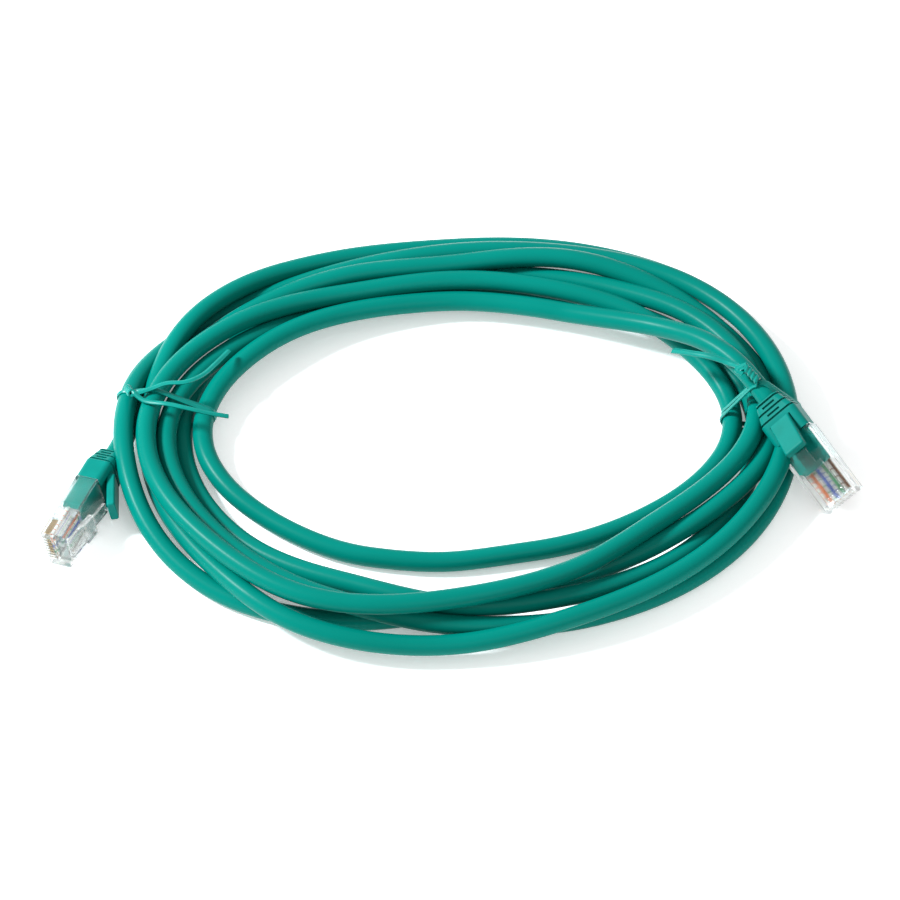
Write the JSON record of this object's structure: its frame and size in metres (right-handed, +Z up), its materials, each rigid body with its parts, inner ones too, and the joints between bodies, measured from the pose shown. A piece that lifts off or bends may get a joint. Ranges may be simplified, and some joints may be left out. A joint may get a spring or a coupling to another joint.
{
  "type": "ethernet patch cable",
  "caption": "Coiled network patch cable with a clear modular plug and snagless boot at each end, wound in an oval and held by two twist ties.",
  "frame": {"origin": "bottom centre of the whole object as it lies on a table", "axes": "+Z up, +X along the long axis of the oval coil towards plug B, +Y away from the side where the plugs point"},
  "size_m": [0.2155, 0.1462, 0.0222],
  "materials": {
    "plug_clear": "clear polished",
    "contact_gold": "gold plated",
    "mould_green": "smooth",
    "boot_green": "smooth satin",
    "jacket": "smooth satin",
    "tie_plastic": "smooth",
    "tie_steel": "drawn",
    "wire_white_orange": "smooth",
    "wire_orange": "smooth",
    "wire_white_green": "smooth",
    "wire_blue": "smooth",
    "wire_white_blue": "smooth",
    "wire_green": "smooth",
    "wire_white_brown": "smooth",
    "wire_brown": "smooth"
  },
  "bodies": {
    "cable": {"plug_a_housing": "plug_clear", "plug_a_contacts": "contact_gold", "plug_a_mould": "mould_green", "plug_a_cable_end": "jacket", "plug_a_boot": "boot_green", "plug_a_wire_white_orange": "wire_white_orange", "plug_a_wire_orange": "wire_orange", "plug_a_wire_white_green": "wire_white_green", "plug_a_wire_blue": "wire_blue", "plug_a_wire_white_blue": "wire_white_blue", "plug_a_wire_green": "wire_green", "plug_a_wire_white_brown": "wire_white_brown", "plug_a_wire_brown": "wire_brown", "plug_b_housing": "plug_clear", "plug_b_contacts": "contact_gold", "plug_b_mould": "mould_green", "plug_b_cable_end": "jacket", "plug_b_boot": "boot_green", "plug_b_wire_white_orange": "wire_white_orange", "plug_b_wire_orange": "wire_orange", "plug_b_wire_white_green": "wire_white_green", "plug_b_wire_blue": "wire_blue", "plug_b_wire_white_blue": "wire_white_blue", "plug_b_wire_green": "wire_green", "plug_b_wire_white_brown": "wire_white_brown", "plug_b_wire_brown": "wire_brown", "coil": "jacket", "tail_a": "jacket", "tail_b": "jacket", "tie_left_ribbon": "tie_plastic", "tie_left_wire": "tie_steel", "tie_right_ribbon": "tie_plastic", "tie_right_wire": "tie_steel"},
    "latch_a": {"plug_a_latch": "plug_clear"},
    "hood_a": {"plug_a_hood": "boot_green"},
    "latch_b": {"plug_b_latch": "plug_clear"},
    "hood_b": {"plug_b_hood": "boot_green"}
  },
  "joints": [
    {"name": "hood_a_press", "type": "hinge", "parent": "cable", "child": "hood_a", "pos_m": [-0.09035, -0.01726, 0.00699], "axis": [0.1656, -0.0806, -0.9829], "range_deg": [0, 10.2], "stiffness_Nm_per_rad": 0.02},
    {"name": "latch_a_press", "type": "hinge", "parent": "cable", "child": "latch_a", "pos_m": [-0.09987, -0.03962, 0.00722], "axis": [-0.1656, 0.0806, 0.9829], "range_deg": [0, 6], "stiffness_Nm_per_rad": 0.02},
    {"name": "hood_b_press", "type": "hinge", "parent": "cable", "child": "hood_b", "pos_m": [0.08634, -0.00435, 0.01615], "axis": [0.7342, 0.3069, 0.6057], "range_deg": [0, 10.2], "stiffness_Nm_per_rad": 0.02},
    {"name": "latch_b_press", "type": "hinge", "parent": "cable", "child": "latch_b", "pos_m": [0.09993, -0.02329, 0.00928], "axis": [-0.7342, -0.3069, -0.6057], "range_deg": [0, 6], "stiffness_Nm_per_rad": 0.02}
  ],
  "couplings": [
    {"joint": "latch_a_press", "follows": "hood_a_press", "ratio": 0.588},
    {"joint": "latch_b_press", "follows": "hood_b_press", "ratio": 0.588}
  ]
}
